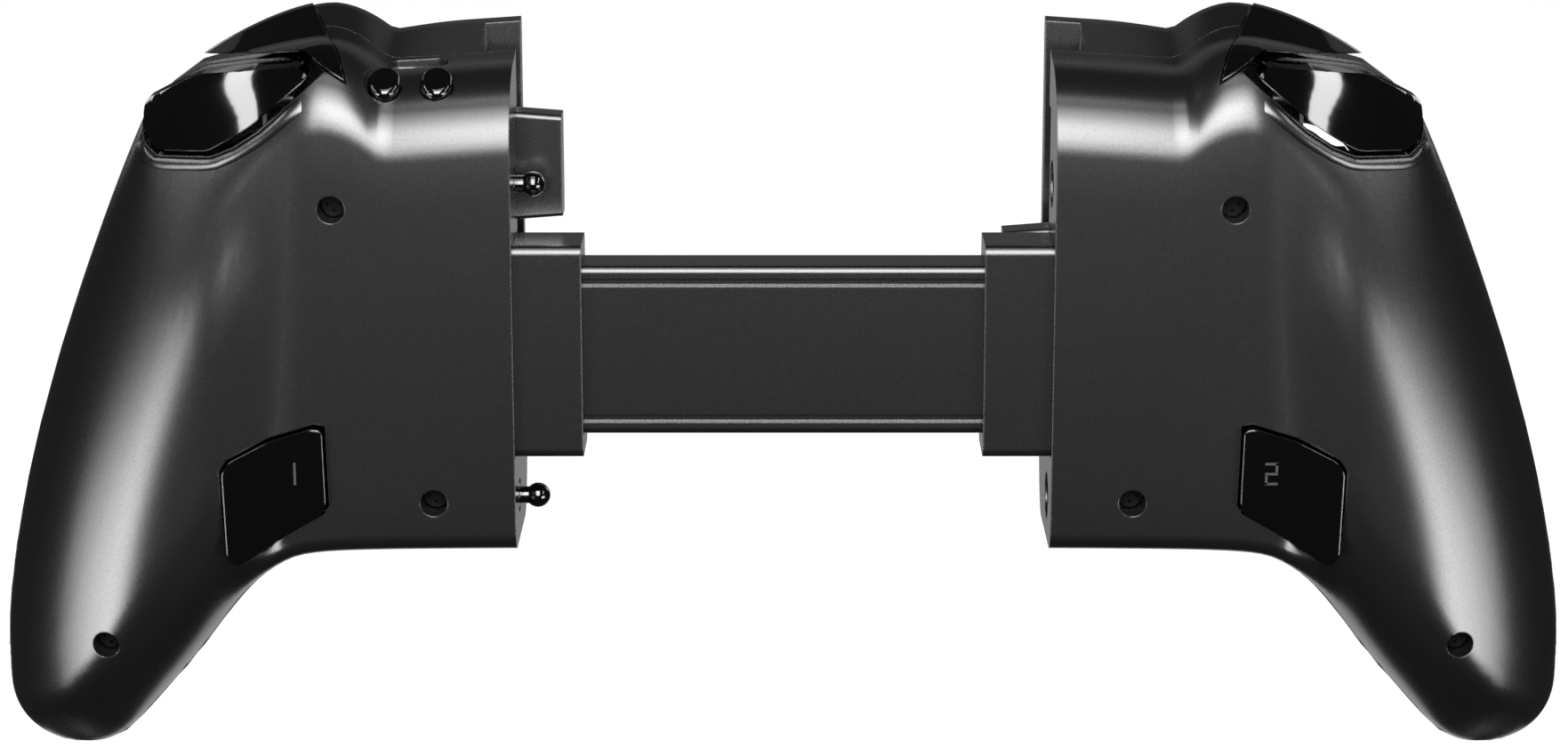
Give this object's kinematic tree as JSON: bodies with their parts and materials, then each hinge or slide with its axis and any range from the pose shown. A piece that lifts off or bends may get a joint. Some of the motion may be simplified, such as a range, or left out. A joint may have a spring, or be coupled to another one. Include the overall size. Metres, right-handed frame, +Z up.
{
  "type": "mobile game controller",
  "caption": "Telescopic game controller: a sliding bridge joins two hand grips with sticks, triggers and back paddles, and holds a phone between them.",
  "frame": {"origin": "middle of the bridge tube's front face, on the bridge's axis between the two halves", "axes": "+X along the bridge to the left-hand half, which lies at the right of the picture, +Z up towards the triggers, +Y out of the front, where the thumb sticks point; the back panels face -Y. Left and right in names are the player's hands."},
  "size_m": [0.249, 0.0431, 0.1196],
  "materials": {
    "shell": "satin moulded",
    "bridge": "satin moulded",
    "gloss": "high gloss",
    "steel": "plain steel",
    "board": "solder mask",
    "rubber": "matt rubber",
    "silicone": "silicone rubber",
    "inner": "plain moulded",
    "cable": "polyimide film",
    "cell": "printed sleeve"
  },
  "bodies": {
    "bridge": {"bridge_tube": "bridge", "tube_slide_bars": "steel", "ribbon_cable": "cable"},
    "left_collar": {"left_collar": "bridge", "left_collar_bars": "steel"},
    "right_collar": {"right_collar": "bridge", "right_collar_bars": "steel"},
    "left_half": {"left_back_shell": "shell", "left_front_shell": "shell", "left_screws": "steel", "left_main_board": "board", "left_slot_pad": "rubber", "left_support_tab": "shell", "left_hinge_pins": "steel", "left_trigger_spring": "steel", "left_stick_housing": "steel", "left_pin_sockets": "gloss", "dpad_membrane": "silicone"},
    "left_bumper": {"left_bumper": "gloss"},
    "left_trigger": {"left_trigger": "gloss"},
    "left_paddle": {"left_paddle": "gloss"},
    "left_stick_carrier": {"left_stick_carrier": "inner"},
    "left_stick_yoke": {"left_stick_yoke": "gloss"},
    "left_stick": {"left_stick_stem": "inner", "left_stick_cap": "rubber"},
    "right_half": {"right_back_shell": "shell", "right_front_shell": "shell", "right_screws": "steel", "right_main_board": "board", "right_slot_pad": "rubber", "right_support_tab": "shell", "right_hinge_pins": "steel", "right_trigger_spring": "steel", "right_stick_housing": "steel", "right_ball_pins": "gloss", "face_button_membrane": "silicone", "usb_c_socket": "steel", "battery": "cell"},
    "right_bumper": {"right_bumper": "gloss"},
    "right_trigger": {"right_trigger": "gloss"},
    "right_paddle": {"right_paddle": "gloss"},
    "right_stick_carrier": {"right_stick_carrier": "inner"},
    "right_stick_yoke": {"right_stick_yoke": "gloss"},
    "right_stick": {"right_stick_stem": "inner", "right_stick_cap": "rubber"},
    "dpad_pivot": {"dpad_pivot": "inner"},
    "dpad": {"dpad": "gloss"},
    "view_button": {"view_button": "gloss"},
    "home_button": {"home_button": "gloss"},
    "face_button_top": {"face_button_top": "gloss"},
    "face_button_bottom": {"face_button_bottom": "gloss"},
    "face_button_inner": {"face_button_inner": "gloss"},
    "face_button_outer": {"face_button_outer": "gloss"},
    "menu_button": {"menu_button": "gloss"},
    "lock_button": {"lock_button": "gloss"},
    "pair_button": {"pair_button": "gloss"}
  },
  "joints": [
    {"name": "left_collar_slide", "type": "slide", "parent": "bridge", "child": "left_collar", "axis": [1, 0, 0], "range_m": [-0.0307, 0.0155]},
    {"name": "left_half_slide", "type": "slide", "parent": "left_collar", "child": "left_half", "axis": [1, 0, 0], "range_m": [-0.0099, 0.0154]},
    {"name": "left_trigger_pull", "type": "hinge", "parent": "left_half", "child": "left_trigger", "pos_m": [0.0786, 0, 0.038], "axis": [1, 0, 0], "range_deg": [0, 6], "stiffness_Nm_per_rad": 0.08, "springref_deg": -8.59},
    {"name": "left_bumper_press", "type": "hinge", "parent": "left_half", "child": "left_bumper", "pos_m": [0.0716, 0.0125, 0.0388], "axis": [0, 1, 0], "range_deg": [0, 2.3], "stiffness_Nm_per_rad": 0.3, "springref_deg": -2.86},
    {"name": "left_paddle_press", "type": "hinge", "parent": "left_half", "child": "left_paddle", "pos_m": [0.0726, -0.0076, -0.022], "axis": [0, 0, 1], "range_deg": [0, 2.6], "stiffness_Nm_per_rad": 0.2, "springref_deg": -2.86},
    {"name": "left_stick_click", "type": "slide", "parent": "left_half", "child": "left_stick_carrier", "axis": [0, -1, 0], "range_m": [0, 0.0005], "stiffness_N_per_m": 6000, "springref_m": -0.0004},
    {"name": "left_stick_tilt_updown", "type": "hinge", "parent": "left_stick_carrier", "child": "left_stick_yoke", "pos_m": [0.0816, 0.012, 0.02], "axis": [1, 0, 0], "range_deg": [-14, 14], "stiffness_Nm_per_rad": 0.03},
    {"name": "left_stick_tilt_sideways", "type": "hinge", "parent": "left_stick_yoke", "child": "left_stick", "pos_m": [0.0816, 0.012, 0.02], "axis": [0, 0, 1], "range_deg": [-14, 14], "stiffness_Nm_per_rad": 0.03},
    {"name": "right_collar_slide", "type": "slide", "parent": "bridge", "child": "right_collar", "axis": [-1, 0, 0], "range_m": [-0.0307, 0.0155]},
    {"name": "right_half_slide", "type": "slide", "parent": "right_collar", "child": "right_half", "axis": [-1, 0, 0], "range_m": [-0.0099, 0.0154]},
    {"name": "right_trigger_pull", "type": "hinge", "parent": "right_half", "child": "right_trigger", "pos_m": [-0.0786, 0, 0.038], "axis": [1, 0, 0], "range_deg": [0, 6], "stiffness_Nm_per_rad": 0.08, "springref_deg": -8.59},
    {"name": "right_bumper_press", "type": "hinge", "parent": "right_half", "child": "right_bumper", "pos_m": [-0.0716, 0.0125, 0.0388], "axis": [0, -1, 0], "range_deg": [0, 2.3], "stiffness_Nm_per_rad": 0.3, "springref_deg": -2.86},
    {"name": "right_paddle_press", "type": "hinge", "parent": "right_half", "child": "right_paddle", "pos_m": [-0.0726, -0.0076, -0.022], "axis": [0, 0, -1], "range_deg": [0, 2.6], "stiffness_Nm_per_rad": 0.2, "springref_deg": -2.86},
    {"name": "right_stick_click", "type": "slide", "parent": "right_half", "child": "right_stick_carrier", "axis": [0, -1, 0], "range_m": [0, 0.0005], "stiffness_N_per_m": 6000, "springref_m": -0.0004},
    {"name": "right_stick_tilt_updown", "type": "hinge", "parent": "right_stick_carrier", "child": "right_stick_yoke", "pos_m": [-0.0616, 0.012, -0.009], "axis": [1, 0, 0], "range_deg": [-14, 14], "stiffness_Nm_per_rad": 0.03},
    {"name": "right_stick_tilt_sideways", "type": "hinge", "parent": "right_stick_yoke", "child": "right_stick", "pos_m": [-0.0616, 0.012, -0.009], "axis": [0, 0, 1], "range_deg": [-14, 14], "stiffness_Nm_per_rad": 0.03},
    {"name": "dpad_rock_updown", "type": "hinge", "parent": "left_half", "child": "dpad_pivot", "pos_m": [0.0616, 0.0118, -0.009], "axis": [1, 0, 0], "range_deg": [-3, 3], "stiffness_Nm_per_rad": 0.2},
    {"name": "dpad_rock_sideways", "type": "hinge", "parent": "dpad_pivot", "child": "dpad", "pos_m": [0.0616, 0.0118, -0.009], "axis": [0, 0, 1], "range_deg": [-3, 3], "stiffness_Nm_per_rad": 0.2},
    {"name": "view_button_press", "type": "slide", "parent": "left_half", "child": "view_button", "axis": [0, -1, 0], "range_m": [0, 0.0013], "stiffness_N_per_m": 500, "springref_m": -0.0008},
    {"name": "home_button_press", "type": "slide", "parent": "left_half", "child": "home_button", "axis": [0, -1, 0], "range_m": [0, 0.0013], "stiffness_N_per_m": 500, "springref_m": -0.0008},
    {"name": "face_button_top_press", "type": "slide", "parent": "right_half", "child": "face_button_top", "axis": [0, -1, 0], "range_m": [0, 0.0013], "stiffness_N_per_m": 500, "springref_m": -0.0008},
    {"name": "face_button_bottom_press", "type": "slide", "parent": "right_half", "child": "face_button_bottom", "axis": [0, -1, 0], "range_m": [0, 0.0013], "stiffness_N_per_m": 500, "springref_m": -0.0008},
    {"name": "face_button_inner_press", "type": "slide", "parent": "right_half", "child": "face_button_inner", "axis": [0, -1, 0], "range_m": [0, 0.0013], "stiffness_N_per_m": 500, "springref_m": -0.0008},
    {"name": "face_button_outer_press", "type": "slide", "parent": "right_half", "child": "face_button_outer", "axis": [0, -1, 0], "range_m": [0, 0.0013], "stiffness_N_per_m": 500, "springref_m": -0.0008},
    {"name": "menu_button_press", "type": "slide", "parent": "right_half", "child": "menu_button", "axis": [0, -1, 0], "range_m": [0, 0.0013], "stiffness_N_per_m": 500, "springref_m": -0.0008},
    {"name": "lock_button_press", "type": "slide", "parent": "right_half", "child": "lock_button", "axis": [0, 0.5878, -0.809], "range_m": [0, 0.0006], "stiffness_N_per_m": 900, "springref_m": -0.0006},
    {"name": "pair_button_press", "type": "slide", "parent": "right_half", "child": "pair_button", "axis": [0, 0.5878, -0.809], "range_m": [0, 0.0006], "stiffness_N_per_m": 900, "springref_m": -0.0006}
  ]
}
